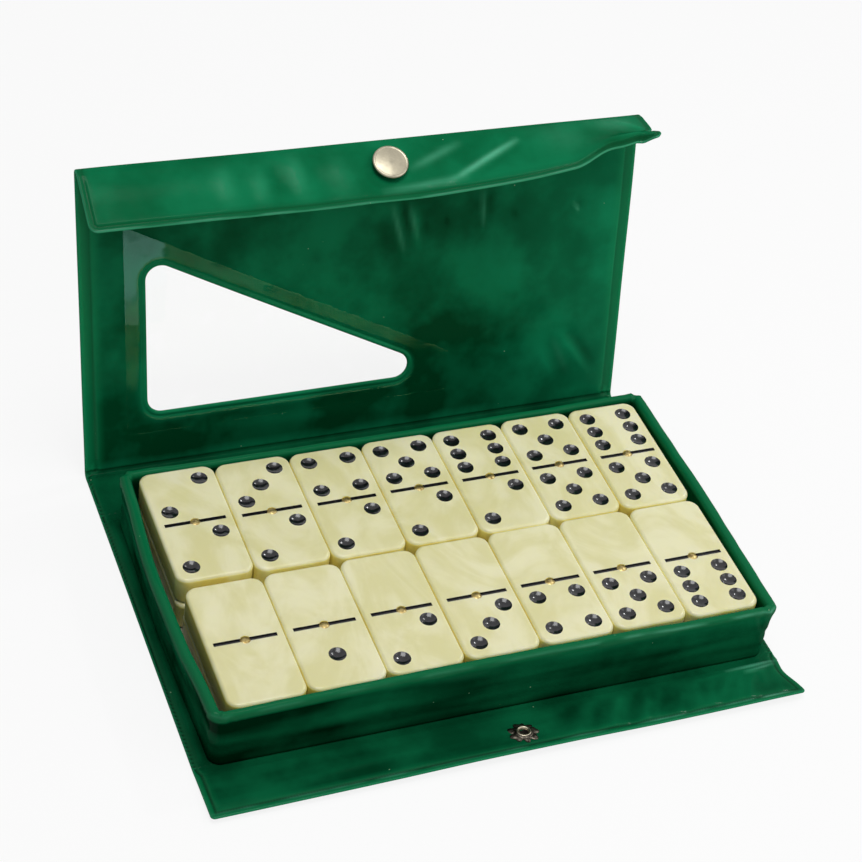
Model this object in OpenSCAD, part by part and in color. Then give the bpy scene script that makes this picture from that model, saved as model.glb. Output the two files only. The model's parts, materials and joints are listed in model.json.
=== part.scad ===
// Domino storage box: a wallet-style case of vinyl-covered card that wraps a card tray,
// with a film window in its lid, two flaps that snap together in front, and a full
// double-six set of dominoes in two layers.
// The origin is the middle of the base's underside. +X is to the right, +Y towards the
// hinged back and +Z up. The case is drawn open: the spine lies flat behind the tray,
// the lid stands up from it and leans back, and both flaps hang loose.

/* [Dominoes] */
// Length of a tile
tile_len = 50; // [44:0.5:56]
// Width of a tile
tile_w = 25; // [22:0.5:28]
// Thickness of a tile
tile_t = 10; // [8:0.5:12]
// Corner radius of a tile seen from above
tile_corner_r = 4; // [2:0.25:6]
// Rounding of a tile's top and bottom edges
tile_edge_r = 1.2; // [0.5:0.1:1.8]
// Diameter of a pip
pip_d = 5.5; // [4:0.1:6]
// Depth of a pip's dish
pip_depth = 0.8; // [0.3:0.05:1.2]
// Distance from the middle of a tile's half to its outer rows and columns of pips
pip_pitch = 6.7; // [6:0.1:7.5]
// Length of the groove that divides a tile's face
groove_len = 20; // [14:0.5:21]
// Width of the dividing groove
groove_w = 1.4; // [0.8:0.1:2]
// Depth of the dividing groove
groove_depth = 0.5; // [0.2:0.05:0.8]
// Diameter of the brass pin in the middle of a tile
pin_d = 3.2; // [2:0.1:4]
// Length of the pin's shank inside the tile
pin_shank = 4; // [2:0.5:6]
// Height of the pin's domed head, whose top is level with the tile's face
pin_dome = 0.4; // [0.3:0.05:0.8]
// Clearance of the pin in its hole
pin_clear = 0.03; // [0.02:0.01:0.1]

/* [Packing of the tiles] */
// Gap between neighbouring tiles in a row
tile_gap = 0.15; // [0.12:0.01:0.5]
// Gap between the back row and the front row
row_gap = 0.4; // [0.2:0.05:1.5]
// Gap between the bottom layer and the top layer
layer_gap = 0.1; // [0.05:0.01:0.3]
// Room between the rows' ends and the tray's side walls
side_room = 2; // [1.7:0.05:4]
// Distance that the tiles have slid to the right in the tray, front row
front_row_shift = 0.8; // [-1.5:0.05:1.5]
// Distance that the tiles have slid to the right in the tray, back row
back_row_shift = 0.2; // [-1.5:0.05:1.5]
// Room between the tiles' ends and the tray's front and back walls
end_room = 1.6; // [1:0.05:3]

/* [Tray] */
// Thickness of the card in the tray's walls
wall_card_t = 1.7; // [1:0.1:3]
// Thickness of the tray's floor card
floor_card_t = 1; // [0.6:0.1:2]
// Outer radius of the tray's upright corners
tray_corner_r = 4; // [3.5:0.25:6]
// Height of the rim above the tiles
rim_over = 0; // [0:0.1:2]
// Distance of the tray's middle from the cover's middle, to the right
tray_shift = 0.7; // [-2:0.05:2]

/* [Cover] */
// Thickness of the vinyl, in the cover and round the tray
vinyl_t = 0.35; // [0.2:0.05:0.5]
// Thickness of the card inside the cover's panels
board_t = 0.7; // [0.5:0.05:1.5]
// Thickness of the stiffener inside the two flaps
stiffener_t = 0.4; // [0.3:0.05:0.8]
// Width of the cover beyond the tray's side walls
side_margin = 4.8; // [3:0.1:10]
// Distance from the tray to the creases in front of it and behind it
crease_room = 1; // [0.8:0.1:3]
// Depth of a crease's axis under the panels' inner faces
crease_depth = 0.2; // [0.1:0.05:0.3]
// Half of the soft strip that stays between two panels at a crease
crease_gap = 0.3; // [0.25:0.05:1]
// Half of the soft strip at the crease of the lid's flap, which folds right back
flap_crease_gap = 1.3; // [1.2:0.05:2]
// Width of the weld outside the card, where a panel's two skins meet
weld_w = 1.8; // [0.8:0.1:3]
// Gap between the tray's rim and the closed lid
lid_gap = 0.3; // [0.2:0.05:1]
// Length of the lid beyond the front crease
lid_over = 0.7; // [0.6:0.1:3]
// Length of the flap on the lid
lid_flap_len = 23; // [20:0.25:23.25]
// Length of the flap in front of the tray
front_flap_len = 18.5; // [17:0.25:18.5]
// Inset of the lid flap's free corners
flap_taper = 0.5; // [0:0.25:8]
// Corner radius of the cover's free corners
cover_corner_r = 3; // [1:0.25:6]

/* [Window] */
// Distance from the lid's left edge to the window
window_left = 22; // [16:0.5:30]
// Distance from the lid's crease to the window
window_up = 20.5; // [16:0.5:26]
// Length of the window's edge along the crease
window_w = 106.9; // [80:0.1:125]
// Length of the window's upright edge
window_h = 57.5; // [40:0.5:62]
// Radius of the window's corners
window_r = 5; // [2:0.25:8]
// Overlap of the window film around the window
film_lap = 7.5; // [4:0.25:10]
// Thickness of the window film
film_t = 0.2; // [0.1:0.02:0.25]

/* [Snap fastener] */
// Distance of the snap from the middle of the cover, to the right
snap_x = 3.8; // [-20:0.1:20]
// Distance of the stud from the front flap's crease
stud_dist = 11.25; // [10:0.25:11.5]
// Outer diameter of the cap
cap_d = 12; // [10:0.25:13]
// Height of the cap's disc at its rim
cap_h = 1.3; // [1.3:0.05:1.6]
// Radius of the cap's rolled rim
cap_rim_r = 0.65; // [0.5:0.05:0.65]
// Height of the cap's dome
cap_dome = 0.35; // [0.15:0.05:0.8]
// Diameter of the socket's ring
socket_d = 8; // [7:0.1:8.5]
// Height of the socket's ring
socket_h = 0.8; // [0.5:0.05:0.9]
// Diameter of the stud's head
stud_d = 4; // [3:0.1:4.4]
// Height of the stud
stud_h = 1.5; // [1:0.05:1.7]
// Clearance round the stud in the socket
snap_clear = 0.5; // [0.4:0.05:0.8]
// Diameter of the eyelet that holds the stud
eyelet_d = 10; // [8:0.25:11]
// Diameter of the eyelet's tube
eyelet_tube_d = 4.4; // [3.6:0.1:5]
// Number of prongs on the eyelet
prongs = 8; // [5:1:10]

/* [Pose] */
// Angle by which the open lid leans back from upright
lid_lean = 11.7; // [0:0.1:40]
// Angle by which the lid's flap is folded out of the lid's plane
lid_flap_fold = 126; // [80:1:140]
// Lean of the closed lid flap away from the tray, where the two flaps snap together
closed_lean = 14; // [12:0.5:18]

/* [Hidden] */
$fn = 48;
// Facets of a circle of which only a shallow arc is used
shallow_fn = 360;
// Overlap that makes a cut pass through a face
cut = 1;

// Packing: two layers of two rows of seven tiles, bottom layer first, each tile as the
// pips on its front half and on its back half.
columns = 7;
TILES = [
    [[[1, 1], [1, 2], [1, 3], [1, 4], [1, 5], [1, 6], [3, 3]],
     [[3, 4], [3, 5], [3, 6], [4, 4], [4, 5], [4, 6], [6, 6]]],
    [[[0, 0], [1, 0], [2, 0], [3, 0], [4, 0], [5, 0], [6, 0]],
     [[2, 2], [2, 3], [2, 4], [2, 5], [2, 6], [5, 5], [5, 6]]]];
// How far the tiles of the top layer have slid towards the back, row by row
slid = [[-0.9, -0.7, -0.4, -0.1, 0.1, 0.2, -0.3], [1.2, 0.4, -0.1, 0.1, -0.1, 0.1, -0.1]];

function tile_name(pips) = str("tile_", min(pips), "_", max(pips));

// Tray
tile_pitch = tile_w + tile_gap;
tray_in_w = columns * tile_pitch - tile_gap + 2 * side_room;
tray_in_d = 2 * tile_len + row_gap + 2 * end_room;
wall_t = wall_card_t + 2 * vinyl_t;
tray_w = tray_in_w + 2 * wall_t;
tray_d = tray_in_d + 2 * wall_t;

// Heights above the table
panel_t = board_t + 2 * vinyl_t;
flap_t = stiffener_t + 2 * vinyl_t;
tiles_z = panel_t + floor_card_t;
tile_top_z = tiles_z + 2 * tile_t + layer_gap;
rim_z = tile_top_z + rim_over;
crease_z = panel_t - crease_depth;

// Cover
cover_w = tray_w + 2 * side_margin;
base_len = tray_d + 2 * crease_room;
closed_lid_z = rim_z + lid_gap + crease_depth;
spine_len = closed_lid_z - crease_z;
lid_len = base_len + lid_over;
flap_outer = flap_t - crease_depth;

// Snap: the socket meets the stud when both flaps are up against the tray's front.
socket_dist = (closed_lid_z - crease_z - stud_dist) / cos(closed_lean);
head_round = stud_d * 0.17;
head_ring = stud_d / 2 - head_round;
// The loose front flap rests on its stud, which lies on the table.
stud_reach = flap_outer + stud_h - head_round;
stud_lever = stud_dist - head_ring;
rest_clear = 0.05;
front_rise = atan2(stud_reach, stud_lever)
    + asin((rest_clear + head_round - crease_z) / norm([stud_reach, stud_lever]));

// Colours
vinyl_green = "#0b4a30";
lining_green = "#0d5434";
card_grey = "#8f8a7c";
film_clear = [0.75, 0.85, 0.85, 0.4];
snap_nickel = "#c9bfb2";
snap_metal = "#6c675c";
resin = "#dcd7a6";
brass_gold = "#b58b3c";

// ---------- Outlines ----------

function unit(v) = v / norm(v);
function turn(v) = [-v[1], v[0]];

// Half of the angle at corner i of a convex outline
function half_angle(pts, i) =
    let (n = len(pts), a = unit(pts[(i + n - 1) % n] - pts[i]), b = unit(pts[(i + 1) % n] - pts[i]))
    acos(a * b) / 2;

// A convex outline, drawn anticlockwise, with the corner radii r
module rounded_outline(pts, r) {
    n = len(pts);
    to_prev = [for (i = [0 : n - 1]) unit(pts[(i + n - 1) % n] - pts[i])];
    to_next = [for (i = [0 : n - 1]) unit(pts[(i + 1) % n] - pts[i])];
    polygon([for (i = [0 : n - 1]) for (side = r[i] > 0 ? [to_prev[i], to_next[i]] : [[0, 0]])
        pts[i] + side * r[i] / tan(half_angle(pts, i))]);
    for (i = [0 : n - 1])
        if (r[i] > 0)
            translate(pts[i] + unit(to_prev[i] + to_next[i]) * r[i] / sin(half_angle(pts, i)))
                circle(r[i]);
}

// A panel from y = near to y = far, with a weld of width w left off all round. Its far
// corners are moved in by taper and rounded where it ends in a free edge.
module panel_outline(near, far, w = 0, taper = 0, free = false) {
    x = cover_w / 2 - w;
    r = free ? cover_corner_r : 0;
    rounded_outline([[-x, near + w], [x, near + w], [x - taper, far - w], [-x + taper, far - w]],
        [0, 0, r, r]);
}

// The window's sharp corners in the lid's plane, moved outwards by grow
function window_corners(grow = 0) =
    let (x = window_left - cover_w / 2, y = window_up, slope = unit([-window_w, window_h]),
        far = grow * (1 + slope[1]) / -slope[0], top = grow * (1 - slope[0]) / slope[1])
    [[x - grow, y - grow],
     [x + window_w + grow * (1 - slope[0]) / slope[1], y - grow],
     [x - grow, y + window_h + grow * (1 + slope[1]) / -slope[0]]];

module window_outline() {
    rounded_outline(window_corners(), [window_r, window_r, window_r]);
}

// The film is cut off square beyond the window's sharp tip.
module film_outline() {
    x = window_left - cover_w / 2;
    intersection() {
        polygon(window_corners(film_lap));
        translate([x - 2 * film_lap, 0]) square([window_w + 2 * film_lap, lid_len - 2 * weld_w]);
    }
}

// ---------- Layers of a panel ----------

// A layer between two distances below the inner face
module layer(top, bottom) {
    translate([0, 0, crease_depth - bottom]) linear_extrude(bottom - top) children();
}

// The outer skin, with its weld raised around the card to meet the lining
module outer_skin(near, far, t, taper = 0, free = false) {
    difference() {
        layer(vinyl_t, t) panel_outline(near, far, 0, taper, free);
        layer(vinyl_t - cut, t - vinyl_t) panel_outline(near, far, weld_w, taper, free);
    }
}

module board(near, far, t, taper = 0, free = false) {
    layer(vinyl_t, t - vinyl_t) panel_outline(near, far, weld_w, taper, free);
}

module lining(near, far, taper = 0, free = false) {
    layer(0, vinyl_t) panel_outline(near, far, 0, taper, free);
}

// ---------- Places of the bodies ----------

module at_base() {
    translate([0, 0, crease_z]) children();
}

module at_spine() {
    translate([0, base_len / 2, crease_z]) children();
}

module at_lid() {
    translate([0, base_len / 2 + spine_len, crease_z]) rotate([90 - lid_lean, 0, 0]) children();
}

module at_lid_flap() {
    at_lid() translate([0, lid_len, 0]) rotate([lid_flap_fold, 0, 0]) children();
}

module at_front_flap() {
    translate([0, -base_len / 2, crease_z]) mirror([0, 1, 0]) rotate([front_rise, 0, 0]) children();
}

// ---------- Base and tray ----------

base_near = -base_len / 2 + crease_gap;
base_far = base_len / 2 - crease_gap;

module base_outer_skin() {
    color(vinyl_green) at_base() outer_skin(base_near, base_far, panel_t);
}

module base_board() {
    color(card_grey) at_base() board(base_near, base_far, panel_t);
}

module base_lining() {
    color(lining_green) at_base() lining(base_near, base_far);
}

module at_tray(z) {
    translate([tray_shift, 0, z]) children();
}

module tray_floor_card() {
    x = tray_in_w / 2;
    y = tray_in_d / 2;
    r = tray_corner_r - wall_t;
    color(card_grey) at_tray(panel_t) linear_extrude(floor_card_t)
        rounded_outline([[-x, -y], [x, -y], [x, y], [-x, y]], [r, r, r, r]);
}

// The card of one wall, which stands inside the wrap and stops below its round rim
module wall_card(length) {
    translate([-length / 2, vinyl_t, 0]) cube([length, wall_card_t, rim_z - panel_t - wall_t / 2]);
}

module tray_front_wall() {
    color(card_grey) at_tray(panel_t) translate([0, -tray_d / 2, 0]) wall_card(tray_w - 2 * tray_corner_r);
}

module tray_back_wall() {
    color(card_grey) at_tray(panel_t) mirror([0, 1, 0]) translate([0, -tray_d / 2, 0])
        wall_card(tray_w - 2 * tray_corner_r);
}

module tray_left_wall() {
    color(card_grey) at_tray(panel_t) rotate(-90) translate([0, -tray_w / 2, 0])
        wall_card(tray_d - 2 * tray_corner_r);
}

module tray_right_wall() {
    color(card_grey) at_tray(panel_t) rotate(90) translate([0, -tray_w / 2, 0])
        wall_card(tray_d - 2 * tray_corner_r);
}

// Section of the vinyl over a wall: it goes up the outside, round the rim and down inside.
module wrap_section() {
    h = rim_z - panel_t;
    r = wall_t / 2;
    difference() {
        union() {
            square([wall_t, h - r]);
            translate([r, h - r]) circle(r);
        }
        translate([vinyl_t, -cut]) square([wall_card_t, h - r + cut]);
        translate([r, h - r]) circle(r - vinyl_t);
    }
}

module tray_wrap() {
    color(vinyl_green) at_tray(panel_t)
        for (side = [0 : 3]) {
            along = side % 2 == 0 ? tray_w : tray_d;
            across = side % 2 == 0 ? tray_d : tray_w;
            straight = along - 2 * tray_corner_r;
            rotate(90 * side) {
                translate([-straight / 2, -across / 2, 0])
                    rotate([90, 0, 90]) linear_extrude(straight) wrap_section();
                translate([straight / 2, tray_corner_r - across / 2, 0])
                    rotate(-90) rotate_extrude(angle = 90)
                        translate([tray_corner_r, 0]) mirror([1, 0]) wrap_section();
            }
        }
}

// ---------- Spine and lid ----------

spine_far = spine_len - crease_gap;
lid_far = lid_len - flap_crease_gap;

module spine_outer_skin() {
    color(vinyl_green) at_spine() outer_skin(crease_gap, spine_far, panel_t);
}

module spine_board() {
    color(card_grey) at_spine() board(crease_gap, spine_far, panel_t);
}

module spine_lining() {
    color(lining_green) at_spine() lining(crease_gap, spine_far);
}

module lid_outer_skin() {
    color(vinyl_green) at_lid() difference() {
        outer_skin(crease_gap, lid_far, panel_t);
        layer(-cut, panel_t + cut) window_outline();
    }
}

module lid_board() {
    color(card_grey) at_lid() difference() {
        board(crease_gap, lid_far, panel_t);
        layer(-cut, panel_t + cut) window_outline();
    }
}

// The lining has a shallow seat in which the film lies flush.
module lid_lining() {
    color(lining_green) at_lid() difference() {
        lining(crease_gap, lid_far);
        layer(-cut, panel_t + cut) window_outline();
        layer(-cut, film_t) film_outline();
    }
}

module window_film() {
    color(film_clear) at_lid() layer(0, film_t) film_outline();
}

// ---------- Flaps ----------

module snap_hole(dist, d) {
    translate([snap_x, dist, 0]) cylinder(h = 2 * flap_t, d = d, center = true);
}

// The cap's shank goes through the lid's flap and the eyelet's tube through the front one.
shank_d = stud_d;
// How far the middle of the cap's rolled rim lies above half of the disc's height
cap_rim_lift = 0.1;

module lid_flap_outer_skin() {
    color(vinyl_green) at_lid_flap() difference() {
        outer_skin(flap_crease_gap, lid_flap_len, flap_t, flap_taper, true);
        snap_hole(socket_dist, shank_d);
    }
}

module lid_flap_stiffener() {
    color(card_grey) at_lid_flap() difference() {
        board(flap_crease_gap, lid_flap_len, flap_t, flap_taper, true);
        snap_hole(socket_dist, shank_d);
    }
}

module lid_flap_lining() {
    color(lining_green) at_lid_flap() difference() {
        lining(flap_crease_gap, lid_flap_len, flap_taper, true);
        snap_hole(socket_dist, shank_d);
    }
}

// A slightly domed disc in a rolled rim, on a shank that ends flush with the flap's inner face
module snap_cap() {
    disc_r = cap_d / 2 - cap_rim_r;
    dome_r = (pow(disc_r, 2) + pow(cap_dome, 2)) / (2 * cap_dome);
    color(snap_nickel) at_lid_flap() translate([snap_x, socket_dist, -flap_outer]) {
        mirror([0, 0, 1]) {
            cylinder(h = cap_h, r = disc_r);
            rotate_extrude() translate([disc_r, cap_h / 2 + cap_rim_lift]) circle(cap_rim_r);
            translate([0, 0, cap_h]) rotate_extrude() intersection() {
                square([disc_r, cap_dome]);
                translate([0, cap_dome - dome_r]) circle(dome_r, $fn = shallow_fn);
            }
        }
        cylinder(h = flap_t, d = shank_d);
    }
}

// The ring that the stud's head snaps into
module snap_socket() {
    color(snap_metal) at_lid_flap() translate([snap_x, socket_dist, crease_depth]) difference() {
        cylinder(h = socket_h, d = socket_d);
        translate([0, 0, -cut]) cylinder(h = socket_h + 2 * cut, d = stud_d + 2 * snap_clear);
    }
}

module front_flap_outer_skin() {
    color(vinyl_green) at_front_flap() difference() {
        outer_skin(crease_gap, front_flap_len, flap_t, 0, true);
        snap_hole(stud_dist, eyelet_tube_d);
    }
}

module front_flap_stiffener() {
    color(card_grey) at_front_flap() difference() {
        board(crease_gap, front_flap_len, flap_t, 0, true);
        snap_hole(stud_dist, eyelet_tube_d);
    }
}

module front_flap_lining() {
    color(lining_green) at_front_flap() difference() {
        lining(crease_gap, front_flap_len, 0, true);
        snap_hole(stud_dist, eyelet_tube_d);
    }
}

// The stud on the flap's outer face: a foot, a neck and a rounded head
module snap_stud() {
    foot_h = 0.3;
    foot_d = stud_d + 3;
    neck_d = stud_d - 0.8;
    color(snap_metal) at_front_flap() translate([snap_x, stud_dist, -flap_outer]) mirror([0, 0, 1]) {
        cylinder(h = foot_h, d = foot_d);
        rotate_extrude() {
            square([neck_d / 2, stud_h - head_round]);
            translate([0, stud_h - 2 * head_round]) square([head_ring, 2 * head_round]);
            intersection() {
                translate([head_ring, stud_h - head_round]) circle(head_round);
                square([stud_d, stud_h]);
            }
        }
    }
}

// The eyelet on the flap's inner face: a tube through the flap, a flange and its prongs
module snap_eyelet() {
    flange_h = 0.3;
    lip_h = 0.8;
    prong_h = 0.35;
    prong_w = 1.3;
    bore_d = eyelet_tube_d - 0.9;
    color(snap_metal) at_front_flap() translate([snap_x, stud_dist, crease_depth]) difference() {
        union() {
            cylinder(h = flange_h, d = eyelet_d);
            translate([0, 0, -flap_t]) cylinder(h = flap_t + lip_h, d = eyelet_tube_d);
            for (i = [1 : prongs])
                rotate(360 * i / prongs) translate([0, -prong_w / 2, 0])
                    cube([eyelet_d / 2 - 0.4, prong_w, flange_h + prong_h]);
        }
        translate([0, 0, -flap_t - cut]) cylinder(h = flap_t + lip_h + 2 * cut, d = bore_d);
    }
}

// ---------- Dominoes ----------

// Places of the pips on half a tile, seen from above with the tile's length along Y
function pip_places(n) =
    let (a = pip_pitch)
    concat(n % 2 == 1 ? [[0, 0]] : [],
        n >= 2 ? [[a, a], [-a, -a]] : [],
        n >= 4 ? [[-a, a], [a, -a]] : [],
        n == 6 ? [[-a, 0], [a, 0]] : []);

// Section of a tile across its edge: a strip of the given width, rounded at its outer end
module edge_section(width) {
    r = tile_edge_r;
    square([width - r, tile_t]);
    translate([0, r]) square([width, tile_t - 2 * r]);
    for (z = [r, tile_t - r])
        translate([width - r, z]) circle(r);
}

// A block with round upright corners and rounded edges, standing on z = 0
module tile_block() {
    half_l = tile_len / 2 - tile_corner_r;
    half_w = tile_w / 2 - tile_corner_r;
    translate([-half_w, -half_l, 0]) cube([2 * half_w, 2 * half_l, tile_t]);
    for (flip = [0, 1]) mirror([flip, 0, 0]) {
        translate([half_w, half_l, 0]) rotate([90, 0, 0]) linear_extrude(2 * half_l)
            intersection() {
                edge_section(tile_corner_r);
                square([tile_corner_r, tile_t]);
            }
    }
    for (flip = [0, 1]) mirror([0, flip, 0]) {
        translate([-half_w, half_l, 0]) rotate([90, 0, 90]) linear_extrude(2 * half_w)
            edge_section(tile_corner_r);
    }
    for (i = [0 : 3])
        rotate(90 * i) {
            x = i % 2 == 0 ? half_w : half_l;
            y = i % 2 == 0 ? half_l : half_w;
            translate([x, y, 0]) rotate_extrude(angle = 90) edge_section(tile_corner_r);
        }
}

module tile(pips) {
    pip_r = (pow(pip_d / 2, 2) + pow(pip_depth, 2)) / (2 * pip_depth);
    pin_r = (pow(pin_d / 2, 2) + pow(pin_dome, 2)) / (2 * pin_dome);
    pin_foot = tile_t - pin_dome - pin_shank;
    color(resin) difference() {
        tile_block();
        for (half = [0, 1])
            translate([0, (half - 0.5) * tile_len / 2, tile_t + pip_r - pip_depth])
                for (p = pip_places(pips[half]))
                    translate(p) sphere(pip_r);
        translate([-groove_len / 2, -groove_w / 2, tile_t - groove_depth])
            cube([groove_len, groove_w, groove_depth + cut]);
        translate([0, 0, pin_foot - pin_clear])
            cylinder(h = tile_t, d = pin_d + 2 * pin_clear);
    }
    color(brass_gold) translate([0, 0, pin_foot]) {
        cylinder(h = pin_shank, d = pin_d);
        translate([0, 0, pin_shank]) rotate_extrude() intersection() {
            square([pin_d / 2, pin_dome]);
            translate([0, pin_dome - pin_r]) circle(pin_r);
        }
    }
}

module placed_tile(layer_no, row_no, column) {
    x = [front_row_shift, back_row_shift][row_no] + (column - (columns - 1) / 2) * tile_pitch;
    y = (row_no - 0.5) * (tile_len + row_gap) + layer_no * slid[row_no][column];
    z = tiles_z + layer_no * (tile_t + layer_gap);
    at_tray(z) translate([x, y, 0]) tile(TILES[layer_no][row_no][column]);
}

base_outer_skin();
base_board();
base_lining();
tray_floor_card();
tray_front_wall();
tray_back_wall();
tray_left_wall();
tray_right_wall();
tray_wrap();
spine_outer_skin();
spine_board();
spine_lining();
lid_outer_skin();
lid_board();
lid_lining();
window_film();
lid_flap_outer_skin();
lid_flap_stiffener();
lid_flap_lining();
snap_cap();
snap_socket();
front_flap_outer_skin();
front_flap_stiffener();
front_flap_lining();
snap_stud();
snap_eyelet();
for (layer_no = [0, 1], row_no = [0, 1], column = [0 : columns - 1])
    placed_tile(layer_no, row_no, column);
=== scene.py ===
import json
import math
from functools import partial

import bmesh
import bpy
import numpy as np
from mathutils import Matrix, Vector, noise
from mathutils.geometry import delaunay_2d_cdt


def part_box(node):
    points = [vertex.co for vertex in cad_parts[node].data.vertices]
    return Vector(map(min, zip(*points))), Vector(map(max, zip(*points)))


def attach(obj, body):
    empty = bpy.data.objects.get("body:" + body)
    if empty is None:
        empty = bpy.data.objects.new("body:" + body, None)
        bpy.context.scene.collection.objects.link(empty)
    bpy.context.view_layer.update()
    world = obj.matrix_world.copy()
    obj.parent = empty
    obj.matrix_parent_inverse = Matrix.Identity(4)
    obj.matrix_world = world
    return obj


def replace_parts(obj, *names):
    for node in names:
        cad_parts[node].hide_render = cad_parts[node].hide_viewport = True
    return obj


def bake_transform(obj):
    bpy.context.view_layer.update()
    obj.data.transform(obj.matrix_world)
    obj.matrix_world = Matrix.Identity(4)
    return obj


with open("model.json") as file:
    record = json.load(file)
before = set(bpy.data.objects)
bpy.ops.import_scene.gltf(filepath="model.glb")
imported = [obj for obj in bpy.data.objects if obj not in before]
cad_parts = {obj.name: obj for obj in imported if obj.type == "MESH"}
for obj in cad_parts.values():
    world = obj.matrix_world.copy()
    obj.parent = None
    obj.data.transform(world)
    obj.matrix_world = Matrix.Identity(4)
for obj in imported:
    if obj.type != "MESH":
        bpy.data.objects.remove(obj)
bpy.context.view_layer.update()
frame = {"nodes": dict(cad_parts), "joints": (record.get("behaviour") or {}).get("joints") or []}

# Lengths are in millimetres and angles in degrees up to the point where a mesh is made.
# A panel of the cover has its own coordinates: x along the creases, v away from the crease
# that it hangs on, and n out of the face that is inside the closed box.
MM = 0.001


def node_box(name):
    """Lowest and highest corner of a CAD node."""
    low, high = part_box(name)
    return np.array(low) / MM, np.array(high) / MM


# ---------- Sizes taken from the frame ----------

hinges = {joint["name"]: joint for joint in frame["joints"] if joint["type"] == "hinge"}
FRONT_CREASE, BACK_CREASE, LID_CREASE, FOLD_CREASE = (  # the y and z of each
    np.array(hinges[name]["pos_m"][1:]) / MM
    for name in ("front_flap_hinge", "spine_hinge", "lid_hinge", "lid_flap_hinge")
)
FRONT_RISE = 90.0 + hinges["front_flap_hinge"]["range_deg"][0]  # of the front flap at the snap
HALF_W = node_box("base_outer_skin")[1][0]
BASE_LEN = BACK_CREASE[0] - FRONT_CREASE[0]
SPINE_LEN = LID_CREASE[0] - BACK_CREASE[0]
LID_LEN = math.dist(FOLD_CREASE, LID_CREASE)
LID_ANGLE = math.degrees(math.atan2(*(FOLD_CREASE - LID_CREASE)[::-1]))

cap_low, cap_high = node_box("snap_cap")
SNAP_X = (cap_low[0] + cap_high[0]) / 2
TRAY_LOW, TRAY_HIGH = node_box("tray_wrap")

# ---------- Sizes of the cover ----------

INNER_FACE = 0.2  # of every panel, above the plane of its creases
PANEL_T = 1.4
FLAP_T = 1.1
SKIN_T = 0.35
WELD_T = 0.7
CREASE_HALF = 1.6  # half of the strip that is soft at a crease
BEND_SHARE = 0.8  # of that strip, which is bent
BOARD_WELD_W = 1.6  # from the free edge of the base and spine to the card inside them
LID_WELD_W = 4.5
FLAP_WELD_W = 2.6
LID_FLAP_LEN = 23.0
FRONT_FLAP_LEN = 18.5
LID_FLAP_R = 3.0
FRONT_FLAP_R = 1.4
SNAP_REACH = 11.25  # from the front crease to the stud and its eyelet
LID_FLAP_FOLD = 126.0  # at the snap
SNAP_FLAT = 9.0  # half of the stretch round the snap where a flap is flat

WINDOW_LEFT = 22.0
WINDOW_UP = 20.5
WINDOW_W = 106.9
WINDOW_H = 57.5
WINDOW_R = 5.0
FILM_LAP = 7.5
FILM_T = 0.12


# ---------- Curves and noise ----------

LEAST_CURL = 1e-3  # degrees for each millimetre, which stand for none
LEAST_TURN = 0.05  # the same for a crease, in degrees


def smooth(t):
    """0 below 0, 1 above 1 and a soft step in between."""
    t = np.clip(t, 0.0, 1.0)
    return t * t * (3 - 2 * t)


def ramp(value, start, width):
    """0 up to start, 1 from start + width on, and a soft step in between."""
    return smooth((value - start) / width)


def rounded(t):
    """A quarter of a circle, steep at 0 and level from 1 on."""
    return np.sqrt(np.clip(1 - (np.minimum(t, 1) - 1) ** 2, 0, 1))


def hill(t):
    """1 at 0, and close to 0 from 2 on at both sides."""
    return np.exp(-(t**2))


def curve(x, knots):
    """A smooth curve through (x, value) knots, level beyond the last ones."""
    xs, values = (np.array(c, float) for c in zip(*knots))
    slopes = np.gradient(values, xs)
    slopes[[0, -1]] = 0
    x = np.clip(x, xs[0], xs[-1])
    i = np.clip(np.searchsorted(xs, x) - 1, 0, len(xs) - 2)
    span = xs[i + 1] - xs[i]
    t = (x - xs[i]) / span
    return (
        values[i] * (1 + 2 * t) * (1 - t) ** 2
        + values[i + 1] * t * t * (3 - 2 * t)
        + span * (slopes[i] * t * (1 - t) ** 2 - slopes[i + 1] * t * t * (1 - t))
    )


def lumps(points, size, seed, detail=2):
    """Soft noise between about -1 and 1, whose lumps have the given size along each axis."""
    scaled = points / np.array(size, float) + seed
    return np.array([noise.fractal(Vector(p), 1.0, 2.0, detail) for p in scaled.tolist()])


def ripple(x, y, size_x, size_y, seed, detail=2):
    """The same on a flat panel."""
    return lumps(np.column_stack([x, y, np.zeros_like(x)]), (size_x, size_y, 1), seed, detail)


def wrinkles(x, v, lines):
    """Pressed lines, each (x, v) at both ends, then half its width and its height."""
    total = np.zeros_like(x)
    for x0, v0, x1, v1, width, height in lines:
        dx, dv = x1 - x0, v1 - v0
        t = ((x - x0) * dx + (v - v0) * dv) / (dx * dx + dv * dv)
        inside = np.clip(t, 0, 1)
        gap = np.hypot(x - x0 - inside * dx, v - v0 - inside * dv)
        fade = np.sin(np.pi * (0.1 + 0.8 * inside))
        total += height * fade * hill(gap / width)
    return total


# ---------- Flat outlines ----------


def leftwards(e):
    return np.stack([-e[..., 1], e[..., 0]], -1)


def corner_turns(corners):
    """For each corner the unit vector into it, that side's length, its mitre and its turn."""
    before = corners - np.roll(corners, 1, 0)
    sides = np.linalg.norm(before, axis=1)
    before = before / sides[:, None]
    after = np.roll(before, -1, 0)
    cosine = (before * after).sum(1)
    mitre = (leftwards(before) + leftwards(after)) / (1 + cosine)[:, None]
    return before, sides, mitre, np.arccos(np.clip(cosine, -1, 1))


def box_corners(half_w, v0, v1):
    return [(-half_w, v0), (half_w, v0), (half_w, v1), (-half_w, v1)]


def box_gap(p, half_w, v0, v1):
    """How far the points p are inside those corners."""
    return np.minimum(half_w - np.abs(p[:, 0]), np.minimum(p[:, 1] - v0, v1 - p[:, 1]))


def moved_corners(corners, inset):
    """Corners of a convex outline moved inwards by inset."""
    return corners + inset * corner_turns(corners)[2]


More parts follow.
